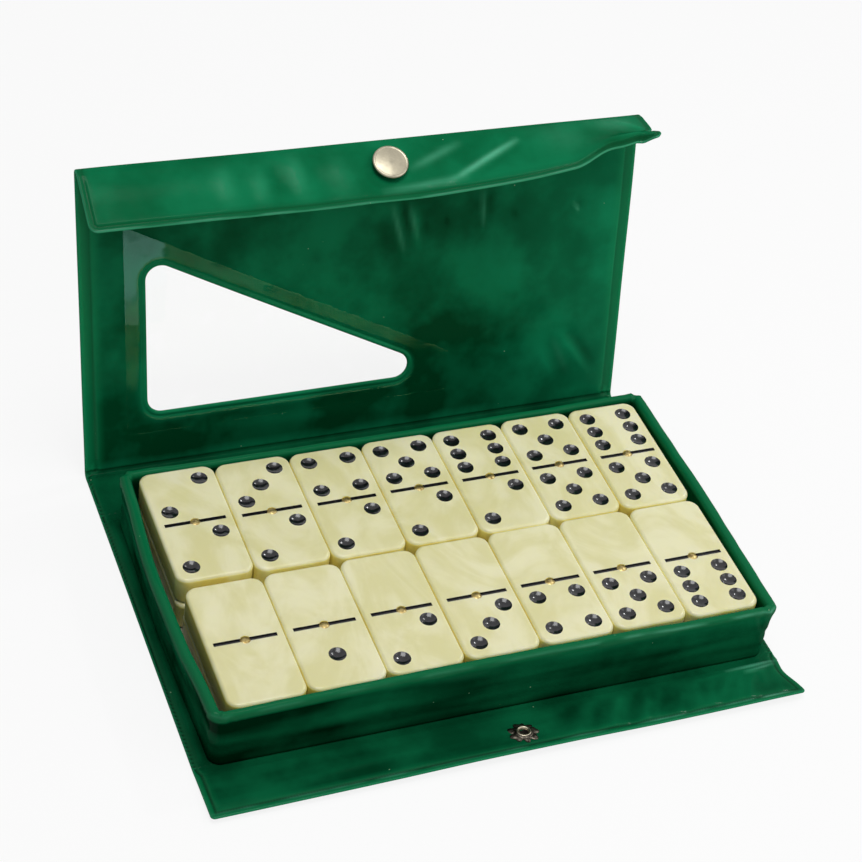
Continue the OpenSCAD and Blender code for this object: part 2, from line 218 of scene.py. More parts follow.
def ring(corners, radii, inset, spacing, arc_points=9):
    """A convex outline, counterclockwise, with rounded corners and moved inwards by inset."""
    corners = np.array(corners, float)
    before, sides, mitre, turns = corner_turns(corners)
    arcs = []
    starts = leftwards(before)
    for i, radius in enumerate(radii):
        radius = max(radius - inset, 0.0)
        angles = np.linspace(0, turns[i], arc_points if radius else 1)
        turned = np.outer(np.cos(angles), starts[i]) - np.outer(np.sin(angles), before[i])
        arcs.append(corners[i] + inset * mitre[i] + radius * (mitre[i] - turned))
    points = []
    for arc, following, side in zip(arcs, arcs[1:] + arcs[:1], np.roll(sides, -1)):
        count = max(2, round(side / spacing))
        points += [arc[:-1], np.linspace(arc[-1], following[0], count, endpoint=False)]
    return np.concatenate(points)


def inside_loop(p, loop):
    """Which of the points p lie inside a closed loop."""
    a, b = loop, np.roll(loop, -1, 0)
    crossed = np.zeros(len(p), bool)
    for (ax, ay), (bx, by) in zip(a, b):
        if ay != by:
            spans = (ay > p[:, 1]) != (by > p[:, 1])
            crossed ^= spans & (p[:, 0] < (bx - ax) * (p[:, 1] - ay) / (by - ay) + ax)
    return crossed


def distance_to_polygon(p, corners):
    """Distance from each of the points p to the nearest side."""
    nearest = np.full(len(p), np.inf)
    for a, b in zip(corners, np.roll(corners, -1, 0)):
        side = b - a
        t = np.clip((p - a) @ side / (side @ side), 0, 1)
        nearest = np.minimum(nearest, np.linalg.norm(p - a - t[:, None] * side, axis=1))
    return nearest


# ---------- Mesh making ----------


# Besides real marks, welded also lightens the tray's rim and the window's lip as painted light,
# tone carries painted light and painted shade, gloss also lightens the colour as a painted
# highlight, groove darkens it as painted shade and cut lightens the very edge as a painted
# highlight.
MARKS = ("welded", "cut", "groove", "tone", "gloss")  # what the vinyl's finish reads at every point


def make_mesh(name, points, faces, marks=None, inner=0):
    """A smooth mesh from points in millimetres. The first inner faces are inside the closed box."""
    mesh = bpy.data.meshes.new(name)
    mesh.from_pydata((np.asarray(points) * MM).tolist(), [], [list(f) for f in faces])
    if marks is not None:
        for mark in {**dict.fromkeys(MARKS), **marks}:
            values = np.broadcast_to(marks.get(mark, 0.0), len(points)).astype(np.float32)
            mesh.attributes.new(mark, "FLOAT", "POINT").data.foreach_set("value", values)
        mesh.attributes.new("inner", "BOOLEAN", "FACE").data.foreach_set(
            "value", np.arange(len(faces)) < inner
        )
    work = bmesh.new()
    work.from_mesh(mesh)
    bmesh.ops.remove_doubles(work, verts=work.verts, dist=1e-7)
    bmesh.ops.recalc_face_normals(work, faces=work.faces)
    work.to_mesh(mesh)
    work.free()
    mesh.polygons.foreach_set("use_smooth", [True] * len(mesh.polygons))
    made = bpy.data.objects.new(name, mesh)
    bpy.context.scene.collection.objects.link(made)
    return made


def closed_sheet(name, flat, triangles, place, over, under, crease_v=(), marks=None):
    """A sheet whose two faces meet at its free edges and are joined by a side at its creases."""
    x, v = flat[:, 0], flat[:, 1]
    count = len(flat)
    sides = np.array(triangles)[:, [[0, 1], [1, 2], [2, 0]]].reshape(-1, 2)
    _, first, uses = np.unique(np.sort(sides, 1), axis=0, return_index=True, return_counts=True)
    rim = sides[np.sort(first[uses == 1])].tolist()
    creased = np.zeros(count, bool)
    for line in crease_v:
        creased |= np.abs(v - line) < 1e-4
    shared = np.zeros(count, bool)
    shared[rim] = True
    shared &= ~creased | (np.abs(x) > HALF_W - 1e-4)
    middle = (over + under) / 2
    top = place(x, v, np.where(shared, middle, over))
    low = place(x, v, np.where(shared, middle, under))
    lower = np.where(shared, np.arange(count), np.arange(count) + count)
    faces = [tuple(t) for t in triangles]
    faces += [(lower[c], lower[b], lower[a]) for a, b, c in triangles]
    for i, j in rim:
        face = list(dict.fromkeys((j, i, lower[i], lower[j])))
        if len(face) > 2:
            faces.append(tuple(face))
    return make_mesh(name, np.concatenate([top, low]), faces, marks, len(triangles))


def filled(loops, rings, step, keep_off):
    """Triangles that fill the first loop and leave out the others.

    rings are rows of points along the edges, and keep_off says how far a point is from them.
    """
    low, high = loops[0].min(0), loops[0].max(0)
    columns, rows = (int(n) for n in np.ceil((high - low) / step))
    gx, gv = np.meshgrid(
        np.linspace(low[0], high[0], columns + 1), np.linspace(low[1], high[1], rows + 1)
    )
    grid = np.column_stack([gx.ravel(), gv.ravel()])
    grid = grid[keep_off(grid) > 0.6 * step]
    points, borders = [], []
    for loop in loops:
        start = sum(len(p) for p in points)
        points.append(loop)
        borders += [(start + i, start + (i + 1) % len(loop)) for i in range(len(loop))]
    points = np.concatenate(points + rings + [grid])
    flat, _, triangles, *_ = delaunay_2d_cdt(
        [Vector(p) for p in points.tolist()], borders, [], 0, 1e-5
    )
    flat = np.array([tuple(p) for p in flat])
    triangles = np.array([tuple(t) for t in triangles])
    middles = flat[triangles].mean(1)
    kept = inside_loop(middles, loops[0])
    for hole in loops[1:]:
        kept &= ~inside_loop(middles, hole)
    return flat, triangles[kept].tolist()


def grid_faces(rows, columns, wrap_rows=False, wrap_columns=False):
    """Quads of a grid of points that is stored row by row."""
    faces = []
    for i in range(rows if wrap_rows else rows - 1):
        for j in range(columns if wrap_columns else columns - 1):
            a, b = i * columns, (i + 1) % rows * columns
            faces.append((a + j, a + (j + 1) % columns, b + (j + 1) % columns, b + j))
    return faces


# ---------- Where each panel lies ----------


def heading(angle):
    """Unit vector in the (y, z) plane at an angle, and the one to its left."""
    a = np.radians(angle)
    ahead = np.stack([np.cos(a), np.sin(a)], -1)
    return ahead, np.stack([-np.sin(a), np.cos(a)], -1)


def flat_panel(origin, angle, x, v, n):
    ahead, left = heading(angle)
    return np.column_stack([x, origin + np.multiply.outer(v, ahead) + np.multiply.outer(n, left)])


def bent_strip(origin, before, turn, x, s, n):
    """A crease's strip that turns left round an arc. s runs from before the crease to after it."""
    half = BEND_SHARE * CREASE_HALF
    t = np.clip(s / half, -1, 1)
    radius = half / np.tan(np.radians(turn) / 2)
    ahead, left = heading(before)
    now_ahead, now_left = heading(before + turn * (t + 1) / 2)
    path = origin - half * ahead + radius[:, None] * (left - now_left)
    path = path + (s - t * half)[:, None] * now_ahead + n[:, None] * now_left
    return np.column_stack([x, path])


def curled_panel(origin, angle, curl, x, v, n):
    """A flap that leaves its crease at an angle and turns by curl for each millimetre."""
    ahead, _ = heading(angle)
    past = np.maximum(v - CREASE_HALF, 0)
    bend = np.where(np.abs(curl) < LEAST_CURL, LEAST_CURL, curl)
    a0, a1 = np.radians(angle), np.radians(angle + bend * past)
    rate = np.radians(bend)
    run = np.stack([(np.sin(a1) - np.sin(a0)) / rate, (np.cos(a0) - np.cos(a1)) / rate], -1)
    _, left = heading(angle + bend * past)
    path = origin + np.minimum(v, CREASE_HALF)[:, None] * ahead + run + n[:, None] * left
    return np.column_stack([x, path])


base_place = partial(flat_panel, FRONT_CREASE, 0.0)
spine_place = partial(flat_panel, BACK_CREASE, 0.0)


def lid_shrink(x):
    """The lid's far edge sags, most of all towards its right end."""
    return curve(x, [(-97, 0.9974), (-40, 0.9904), (0, 0.9872), (60, 0.9815), (97, 0.9767)])


def lid_warp(x, v):
    """Slow waves of the open lid, none at its creases."""
    hold = np.sin(np.pi * np.clip(v / LID_LEN, 0, 1)) ** 0.7
    return hold * (0.5 * ripple(x, v, 60, 45, 3.1, 1) + 0.9 * ramp(x, 60, 37) * (v / LID_LEN))


def lid_place(x, v, n):
    return flat_panel(LID_CREASE, LID_ANGLE, x, v * lid_shrink(x), n + lid_warp(x, v))


def fold_line(x):
    """The crease between the lid and its flap."""
    ahead, _ = heading(LID_ANGLE)
    return LID_CREASE + np.multiply.outer(LID_LEN * lid_shrink(x), ahead)


def lid_flap_fold(x):
    """How far the lid's flap is folded back, which is less towards its right end."""
    return LID_FLAP_FOLD + curve(x, [
        (-98, -0.5), (-60, 1), (-20, 2), (SNAP_X - SNAP_FLAT, 0), (SNAP_X + SNAP_FLAT, 0),
        (44, -10), (69, -22), (88, -29), (98, -29),
    ])


def lid_flap_curl(x):
    away = smooth((np.abs(x - SNAP_X) - SNAP_FLAT) / 30)
    return away * curve(x, [(-98, 0.1), (-40, -0.15), (20, 0.0), (60, 0.3), (98, 0.2)])


def lid_flap_place(x, v, n):
    """Its right end is crushed: the edge is turned under, the corner pushed up and the end nicked.

    Close to its fold it stays clear of the front flap in the closed box.
    """
    end, near_end = ramp(x, 82, 15), ramp(x, 64, 16)
    lift = 3.6 * np.maximum(end, 0.66 * near_end) * ramp(v, 8, 14)
    lift += 0.5 * end * np.sin(v / 2.1) * ramp(v, 8, 6)
    lift += 0.25 * smooth((v - CREASE_HALF) / 1.4) * (1 - ramp(v, 6, 8))
    under = near_end * (1 - ramp(x, 88, 8))
    nick = ramp(x, 90, 7) * (3 * hill((v - 12.5) / 0.8) + 0.7 * ramp(v, 9, 4))
    pulled = 3.4 * end * ramp(v, 15, 8)
    pulled += under * (3.2 * ramp(v, 9, 11) + 1.7 * ramp(v, 20, 3))
    tucked = 2.4 * near_end * (1 - ramp(x, 90, 5)) * ramp(v, 20.2, 2)
    return curled_panel(
        fold_line(x), LID_ANGLE + lid_flap_fold(x), lid_flap_curl(x), x - nick, v - pulled,
        n - lift + tucked,
    )


def front_flap_rise(x):
    """How steeply the front flap leaves its crease."""
    return curve(x, [
        (-98, 4.4), (-60, 5.3), (SNAP_X - 1.5 * SNAP_FLAT, FRONT_RISE),
        (SNAP_X + 1.5 * SNAP_FLAT, FRONT_RISE), (60, 7), (98, 8),
    ])


def front_flap_curl(x):
    away = smooth((np.abs(x - SNAP_X) - 1.5 * SNAP_FLAT) / 30)
    return away * curve(x, [(-98, -0.08), (0, -0.1), (60, -0.13), (98, -0.1)])


def mirrored(place):
    """The same place in front instead of behind."""
    def in_front(x, v, n):
        return place(x, v, n) * (1, -1, 1)
    return in_front


@mirrored
def front_flap_place(x, v, n):
    """Its right end sweeps out to a pointed corner."""
    sweep = ramp(x, 84, 13) * (1.5 * ramp(v, 9, 10) - 0.9 * hill((v - 7) / 4))
    return curled_panel(
        FRONT_CREASE * (-1, 1), front_flap_rise(x), front_flap_curl(x), x + sweep, v, n
    )


# ---------- Panels of the cover ----------

DENT = 0.32  # deepest dent of a face, which stays above the card
EDGE_ROWS = (0.05, 0.16, 0.32, 0.5, 0.7, 0.9, 1.15, 1.45)  # rows of points along a free edge
STEP_ROWS = (-0.9, -0.6, -0.35, -0.1, 0.2, 0.5)  # the same at the step up to the card
STRIP_STEP_ROWS = (-0.9, -0.5, 0.0, 0.4)
WINDOW_ROWS = (1.8, 2.2, 2.6, 3.2)
WINDOW_WELD_W = 2.6
LIP_W = 1.9
LIP_H = 0.62
CARD_LAP = 0.2  # of the card into the step beside a weld
CARD_R = 0.5
CARD_GAP = 0.12  # between the card and each skin


def weld_profile(d, weld_w, thickness, bead_w=None, bead_h=0.46):
    """Height of both faces at distance d from a free edge.

    From the edge inwards come a rounded bead, a groove or flat weld, and the step up to the card.
    """
    middle = INNER_FACE - thickness / 2
    bead_w = np.minimum(0.3 * weld_w, 0.8) if bead_w is None else bead_w
    bead = bead_h * rounded(d / bead_w)
    weld = bead - (bead_h - WELD_T / 2 + 0.12) * smooth((d - bead_w) / bead_w)
    card = smooth((d - weld_w + 0.9) / 1.1)
    half = weld + (thickness / 2 - weld) * card
    return middle + half, middle - half


def cover_faces(d, crease_d, weld_w, thickness):
    """Height of both faces at distance d from a free edge and crease_d from a crease.

    The outer skin is tight close to a crease, where its weld is as high as its card.
    """
    over, under = weld_profile(d, weld_w, thickness)
    tight = INNER_FACE - thickness / 2 * (1 + rounded(d / 0.5))
    under = under + (tight - under) * (1 - ramp(crease_d, 1.5, 5))
    groove, pressed = hill(crease_d / 0.5), 1 - ramp(crease_d, 0.9, 1)
    return over - 0.12 * groove - 0.14 * pressed, under + 0.03 * groove + 0.1 * pressed


def edge_marks(d, weld_w):
    """Marks of both faces at distance d from a free edge. groove darkens the weld's groove and the
    step up to the card as painted shade, and cut lightens the very edge as a painted highlight.
    """
    fine = 0.35 * hill((d - 1.35) / 0.2)
    groove = np.minimum(1, 3.2 / weld_w) * hill((d - weld_w + 0.7) / 0.4)
    return {
        "welded": np.tile(1 - smooth((d - 0.35 * weld_w) / (1.35 * weld_w)), 2),
        "cut": np.tile(1 - ramp(d, 0.15, 0.4), 2),
        "groove": np.tile(np.maximum(fine, groove), 2),
    }


def no_marks(x, v):
    return 0.0 * x


class Panel:
    """A panel of the cover: its outline in (x, v), where it lies, and how thick it is."""

    def __init__(self, name, body, place, length, corner_r, weld_w, thickness, step, window=False):
        """length is that from the crease. corner_r is None where the far edge is a crease too."""
        self.name, self.body, self.place, self.window = name, body, place, window
        self.length, self.corner_r, self.far_crease = length, corner_r, corner_r is None
        self.v0, self.v1 = CREASE_HALF, length - (CREASE_HALF if self.far_crease else 0)
        self.weld_w, self.thickness, self.step = weld_w, thickness, step

    def row(self, inset):
        radii = [0, 0] + [self.corner_r or 0] * 2
        return ring(box_corners(HALF_W, self.v0, self.v1), radii, inset, self.step)

    def edge_distance(self, x, v):
        """Distance to the nearest free edge of the outline."""
        side = HALF_W - np.abs(x)
        if self.far_crease:
            return side
        far, r = self.v1 - v, self.corner_r
        round_part = r - np.hypot(np.minimum(side - r, 0), np.minimum(far - r, 0))
        return np.where((side < r) & (far < r), round_part, np.minimum(side, far))

    def crease_distance(self, v):
        return np.minimum(v, self.length - v) if self.far_crease else v

    def window_gap(self, x, v):
        """Distance outside the window's edge, and a large one where there is no window."""
        return window_distance(x, v) if self.window else np.full(len(x), 2 * HALF_W)

    def faces_at(self, x, v):
        """Heights of the inner and the outer face."""
        over, under = cover_faces(
            self.edge_distance(x, v), self.crease_distance(v), self.weld_w, self.thickness
        )
        lip_over, lip_under = weld_profile(
            self.window_gap(x, v), WINDOW_WELD_W, self.thickness, LIP_W / 2, LIP_H
        )
        return np.minimum(over, lip_over), np.maximum(under, lip_under)

    def build(self, relief, back_relief, tone=no_marks, gloss=no_marks, back_gloss_and_painted_sheen=no_marks):
        """The reliefs are heights out of each face, which also lighten bulges and darken dents
        through the tone mark as painted light and painted shade; tone and gloss are marks of the
        finish.
        """
        offsets = sorted(EDGE_ROWS + tuple(self.weld_w + d for d in STEP_ROWS))
        loops, rings = [self.row(0)], [self.row(d) for d in offsets]
        if self.window:
            loops.append(window_ring(0))
            rings += [window_ring(-d) for d in EDGE_ROWS + WINDOW_ROWS]

        def keep_off(p):
            gap = box_gap(p, HALF_W, self.v0, self.v1) - offsets[-1]
            return np.minimum(gap, self.window_gap(*p.T) - WINDOW_ROWS[-1])

        flat, triangles = filled(loops, rings, self.step, keep_off)
        x, v = flat.T
        over, under = self.faces_at(x, v)
        edge_d, window_d = self.edge_distance(x, v), self.window_gap(x, v)
        hold = ramp(edge_d, 0.6, 3) * smooth(self.crease_distance(v) / 4 - 0.4)
        hold = hold * ramp(window_d, 0.6, 4)
        raised, back_raised = relief(x, v), back_relief(x, v)
        over = over + hold * np.maximum(raised, -DENT)
        under = under - hold * np.maximum(back_raised, -DENT)
        creases = (self.v0, self.v1) if self.far_crease else (self.v0,)
        marks = edge_marks(edge_d, self.weld_w)
        # Painted light: the window's lip takes the lighter welded colour, as if lit through from
        # behind.
        lip = 0.4 * (1 - ramp(window_d, 1.5, 1.6))
        marks["welded"] = np.maximum(marks["welded"], np.tile(lip, 2))
        # Painted light and painted shade: the relief lightens the colour on bulges and darkens it
        # in dents.
        marks["tone"] = np.concatenate([hold * (tone(x, v) + 0.75 * raised), hold * back_raised])
        marks["gloss"] = np.concatenate([gloss(x, v), back_gloss_and_painted_sheen(x, v)])
        made = closed_sheet(self.name, flat, triangles, self.place, over, under, creases, marks)
        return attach(made, self.body)

    def card(self, name, step):
        """The card between the two skins, as a closed slab that follows the panel."""
        inset, depth = self.weld_w - CARD_LAP, SKIN_T + CARD_GAP
        box = HALF_W - inset, self.v0, self.v1 - (0 if self.far_crease else inset)
        loops = [ring(box_corners(*box), [CARD_R] * 4, 0, step)]
        if self.window:
            loops.append(window_ring(-WINDOW_WELD_W))

        def keep_off(p):
            return np.minimum(box_gap(p, *box), self.window_gap(*p.T) - WINDOW_WELD_W)

        flat, triangles = filled(loops, [], step, keep_off)
        over = np.full(len(flat), INNER_FACE - depth)
        under = np.full(len(flat), INNER_FACE - self.thickness + depth)
        made = closed_sheet(name, flat, triangles, self.place, over, under)
        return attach(made, self.body)


# ---------- Window ----------

FILM_STEP = 2.0
FILM_EDGE = 0.5
FILM_LIP_ROWS = (1.2, 2.0, 2.8, 3.6)
window_corners = np.array([
    (WINDOW_LEFT - HALF_W, WINDOW_UP),
    (WINDOW_LEFT - HALF_W + WINDOW_W, WINDOW_UP),
    (WINDOW_LEFT - HALF_W, WINDOW_UP + WINDOW_H),
])


def window_ring(inset):
    return ring(window_corners, [WINDOW_R] * 3, inset, 1.5, arc_points=13)


def window_distance(x, v):
    """Distance outside the window's edge, negative inside it."""
    p = np.column_stack([x, v])
    core = moved_corners(window_corners, WINDOW_R)
    gap = distance_to_polygon(p, core)
    return np.where(inside_loop(p, core), -gap, gap) - WINDOW_R


def film_outline():
    """The film's cut: the window's outline plus its lap, cut square beyond the sharp tip."""
    near, tip, top = moved_corners(window_corners, -FILM_LAP)
    cut_x = window_corners[1][0]
    slope = (top[1] - tip[1]) / (top[0] - tip[0])
    return np.array([near, (cut_x, near[1]), (cut_x, tip[1] + slope * (cut_x - tip[0])), top])


def window_sheet():
    """The clear film: on the lining outside the window's lip, and sunk behind the lip inside it."""
    corners = film_outline()
    edge, inner_row = (ring(corners, [0.4] * 4, inset, FILM_STEP) for inset in (0, FILM_EDGE))
    rings = [inner_row] + [window_ring(-d) for d in FILM_LIP_ROWS]
    nearest, farthest = FILM_LIP_ROWS[0], FILM_LIP_ROWS[-1]

    def keep_off(p):
        inner = moved_corners(corners, FILM_EDGE)
        gap = np.where(inside_loop(p, inner), distance_to_polygon(p, inner), -1)
        lip = np.abs(window_distance(*p.T) - (nearest + farthest) / 2) - (farthest - nearest) / 2
        return np.minimum(gap, lip)

    flat, triangles = filled([edge], rings, FILM_STEP, keep_off)
    x, v = flat.T
    out = window_distance(x, v)
    sunk = -0.5 + 0.12 * ripple(x, v, 18, 14, 5.3, 1)
    on_lining = INNER_FACE + 0.05 + 0.04 * ripple(x, v, 5, 5, 2.2, 1)
    under = sunk + (on_lining - sunk) * ramp(out, 1.7, 1.2)
    stuck = np.maximum(ramp(x, -76, 14), smooth((61 - v) / 14))
    made = closed_sheet(
        "window_sheet", flat, triangles, lid_place, under + FILM_T, under,
        marks={"stuck": np.tile(stuck, 2)},
    )
    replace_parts(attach(made, "lid"), "window_film")
    return made


# ---------- Tray ----------

WALL_T = 2.4
TRAY_R = 4.0
RIM_H = 2.2  # of the rounded part of the rim
OUTSIDE_ROWS, RIM_ROWS, INSIDE_ROWS = 22, 13, 9  # rows of points on the wall
(left_x, front_y), (right_x, back_y) = TRAY_LOW[:2] + WALL_T, TRAY_HIGH[:2] - WALL_T
tray_inner = [(left_x, front_y), (right_x, front_y), (right_x, back_y), (left_x, back_y)]


def wall_shape(at, facing):
    """Offsets of foot and rim, the rim's padding and height, and the distance to the corner."""
    x, y = at.T
    (right, back), (left, front) = np.maximum(facing.T, 0), np.maximum(-facing.T, 0)
    half_d = TRAY_HIGH[1]
    foot = left * curve(y, [(-half_d, 0.2), (0, 1.2), (half_d, 0.3)]) + 0.4 * right
    lean = (
        left * curve(y, [(-half_d, -0.2), (-20, 1.9), (10, 2.4), (half_d, -0.3)])
        + right * curve(y, [(-half_d, 0.4), (0, 1.4), (half_d, 0.2)])
        - back * curve(x, [(-90, 0), (-40, 0.25), (30, 0.3), (92, 0)])
        - front * curve(x, [(-90, 0.4), (-50, 0.8), (40, 0.8), (92, 0.2)])
    )
    pad = 0.25 * (front + back) + left + 1.1 * right
    edge = np.hypot(*np.minimum(at - TRAY_LOW[:2], TRAY_HIGH[:2] - at).T)
    height = TRAY_HIGH[2] - 0.5 * ramp(edge, 6, 30) + 0.1 * (1 - smooth(edge / 8))
    height = height + front * curve(x, [(-90, 0.3), (-60, 0.9), (50, 0.9), (92, 0.2)])
    return foot, lean, pad, height, edge


def tray_section(skin, spacing, with_detail=True):
    """Points of the tray's wall, station by station. skin is how far they lie inside its faces."""
    corner_r = [TRAY_R - WALL_T] * 4
    at = ring(tray_inner, corner_r, 0.0, spacing, arc_points=13)
    facing = ring(tray_inner, corner_r, -1.0, spacing, arc_points=13) - at
    facing /= np.linalg.norm(facing, axis=1)[:, None]
    foot, lean, pad, height, edge = wall_shape(at, facing)
    floor_z = TRAY_LOW[2] + skin
    columns = []

    def column(out, z, detail=None):
        points = np.column_stack([at + facing * out[:, None], z])
        if with_detail and detail:
            points = points + detail(points)
        columns.append(points)

    def outer_at(level):
        share = level / height
        swell = pad * ramp(share, 0.55, 0.4) + 0.2 * np.sin(np.pi * share)
        return WALL_T - skin + foot * (1 - share) + lean * share**1.3 + swell

    def inner_at(level):
        share = level / height
        return skin + lean * share**1.3 - 0.5 * ramp(share, 0.8, 0.2) * with_detail + 0.15

    def outward(amount):
        return np.column_stack([facing * amount[:, None], np.zeros(len(at))])

    def outer_detail(points):
        share = points[:, 2] / TRAY_HIGH[2]
        amount = 0.42 * lumps(points, (34, 26, 4.2), 11.0) * np.sin(np.pi * np.clip(share, 0, 1))
        gather = hill(edge / 7) * ramp(share, 0.3, 0.6)
        along = at @ np.array([0.7, 0.7]) + 0.25 * points[:, 2]
        return outward(amount + 0.22 * gather * np.sin(2 * np.pi * along / 1.9))

    def rim_detail(points):
        gather = hill(edge / 5)
        along = at @ np.array([0.7, -0.7])
        diagonal = 1 - np.abs(2 * facing[:, 0] * facing[:, 1])
        pinch = hill(diagonal / 0.1) - 0.5 * hill((diagonal - 0.3) / 0.12)
        amount = 0.14 * lumps(points, (9, 9, 9), 4.0) - 0.35 * pinch
        moved = outward(amount + 0.2 * gather * np.sin(2 * np.pi * along / 1.7))
        moved[:, 2] = np.minimum(0.16 * lumps(points, (14, 14, 14), 7.0), 0.15) - 0.2 * pinch
        return moved

    shoulder = height - RIM_H - skin
    for share in np.linspace(0, 1, OUTSIDE_ROWS):
        level = floor_z + (shoulder - floor_z) * share
        column(outer_at(level), level, outer_detail if share else None)
    wide, inner = outer_at(shoulder), inner_at(shoulder)
    for angle in np.linspace(0, np.pi, RIM_ROWS + 2)[1:-1]:
        middle, half = (wide + inner) / 2, (wide - inner) / 2
        across = np.sign(np.cos(angle)) * abs(np.cos(angle)) ** 0.8
        column(middle + half * across, shoulder + RIM_H * np.sin(angle) ** 0.8, rim_detail)
    for share in np.linspace(0, 1, INSIDE_ROWS):
        level = shoulder + (floor_z + 1.0 - shoulder) * share
        column(inner_at(level), level)
    return np.stack(columns, 1)


def swept_wall(name, points):
    """A closed skin over those points, with random dark stripes outside, and painted light: a
    lighter rim whose top faces up, a lighter right front, painted shade low on the left, and a
    painted highlight on the rim's front shoulder.
    """
    stations, columns, _ = points.shape
    faces = grid_faces(stations, columns, wrap_rows=True, wrap_columns=True)
    column = np.tile(np.arange(columns), stations)
    points = points.reshape(-1, 3)
    x, y, z = points.T
    # Painted light: the rim's top takes the lighter welded colour because it faces up.
    rim = smooth((z - TRAY_HIGH[2] + RIM_H + 0.4) / 0.8)
    in_front = smooth((TRAY_LOW[1] + 4 - y) / 2)
    # Random stripes, and painted light towards the right front.
    bands_and_painted_light = 0.5 * lumps(points, (44, 34, 5.5), 11.0) + 0.22 * in_front * ramp(x, 55, 30)
    # Painted shade low on the wall, most of all on the left.
    bands_and_painted_light -= 0.2 * smooth((0.62 - z / TRAY_HIGH[2]) / 0.4) * (1 - ramp(x, 20, 60))
    # Painted highlight along the front shoulder of the rim, stronger to the right.
    shoulder = hill((column - OUTSIDE_ROWS - 2) / 1.2)
    line = in_front * shoulder * smooth(1.2 * lumps(points, (11, 11, 30), 3.0) + 0.45)
    gloss = line * (0.2 + 0.4 * smooth(x / 60))
    marks = {"welded": rim, "tone": (1 - rim) * bands_and_painted_light, "gloss": gloss}
    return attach(make_mesh(name, points, faces, marks), "case_base")


# ---------- Crease strips ----------


def crease_strip(name, first, second, strip_place):
    """The strip that bends at the crease between two panels."""
    steps = (panel.weld_w + d for panel in (first, second) for d in STRIP_STEP_ROWS)
    edge = np.unique(np.round([0, *EDGE_ROWS, *steps], 3))
    middle = HALF_W - edge[-1]
    inner = np.linspace(-middle, middle, 150)[1:-1]
    xs = np.concatenate([-HALF_W + edge, inner, HALF_W - edge[::-1]])
    across = CREASE_HALF * np.sin(np.linspace(-np.pi / 2, np.pi / 2, 25))
    x, s = (g.ravel() for g in np.meshgrid(xs, across, indexing="ij"))
    share = smooth((s / CREASE_HALF + 1) / 2)
    thickness = first.thickness + (second.thickness - first.thickness) * share
    weld_w = first.weld_w + (second.weld_w - first.weld_w) * share
    edge_d = HALF_W - np.abs(x)
    over, under = cover_faces(edge_d, np.abs(s), weld_w, thickness)
    quads = grid_faces(len(xs), len(across))
    triangles = [t for a, b, c, d in quads for t in ((a, d, c), (a, c, b))]
    flat = np.column_stack([x, s])
    made = closed_sheet(
        name, flat, triangles, strip_place, over, under, (-CREASE_HALF, CREASE_HALF),
        edge_marks(edge_d, weld_w),
    )
    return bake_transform(made)


# ---------- Finishes ----------


def shown(*levels):
    """A shader's colour from the levels 0 to 255 of a screen."""
    shares = [c / 255 for c in levels]
    return (*(c / 12.92 if c <= 0.04045 else ((c + 0.055) / 1.055) ** 2.4 for c in shares), 1.0)


class Flow:
    """A shader value on which ordinary operators work."""

    def __init__(self, finish, socket):
        self.finish, self.socket = finish, socket

    def maths(self, operation, first, second, clamp=False):
        return self.finish.node(
            "ShaderNodeMath", {0: first, 1: second}, operation=operation, use_clamp=clamp
        )

    def __add__(self, other):
        return self.maths("ADD", self, other)

    def __mul__(self, other):
        return self.maths("MULTIPLY", self, other)

    def __sub__(self, other):
        return self.maths("SUBTRACT", self, other)

    def __rsub__(self, other):
        return self.maths("SUBTRACT", other, self)

    def step(self, low, high):
        """0 below low, 1 above high, soft between."""
        return self.finish.node(
            "ShaderNodeMapRange", {"Value": self, "From Min": low, "From Max": high},
            interpolation_type="SMOOTHSTEP",
        )


class Finish:
    """One material, made from nodes by one method."""

    def __init__(self, name):
        self.material = bpy.data.materials.new(name)
        self.material.use_nodes = True
        self.tree = self.material.node_tree
        self.tree.nodes.clear()
        self.place = self.node("ShaderNodeTexCoord", out="Object")

    def node(self, kind, inputs=(), out=0, **settings):
        made = self.tree.nodes.new(kind)
        for key, value in settings.items():
            setattr(made, key, value)
        for key, value in dict(inputs).items():
            if isinstance(value, Flow):
                self.tree.links.new(value.socket, made.inputs[key])
            else:
                made.inputs[key].default_value = value
        return None if out is None else Flow(self, made.outputs[out])

    def noise(self, scale, detail=2.0, stretch=(1, 1, 1), roughness=0.5, distortion=0.0):
        """Noise with scale lumps per metre, fewer along an axis whose stretch is below 1."""
        at = self.node("ShaderNodeMapping", {"Vector": self.place, "Scale": stretch})
        return self.node("ShaderNodeTexNoise", {
            "Vector": at, "Scale": scale, "Detail": detail, "Roughness": roughness,
            "Distortion": distortion,
        })

    def cells(self, scale):
        return self.node("ShaderNodeTexVoronoi", {"Vector": self.place, "Scale": scale})

    def mix(self, factor, first, second):
        """Between two colours, plain ones given as they look on a screen."""
        first, second = (c if isinstance(c, Flow) else shown(*c) for c in (first, second))
        return self.node(
            "ShaderNodeMix", {0: factor, 6: first, 7: second}, out=2, data_type="RGBA"
        )

    def bump(self, height, distance, strength):
        return self.node(
            "ShaderNodeBump", {"Height": height, "Distance": distance, "Strength": strength}
        )

    def surface(self, **sockets):
        named = {key.replace("_", " "): value for key, value in sockets.items()}
        shader = self.node("ShaderNodeBsdfPrincipled", named)
        self.node("ShaderNodeOutputMaterial", {"Surface": shader}, out=None)
        return self.material


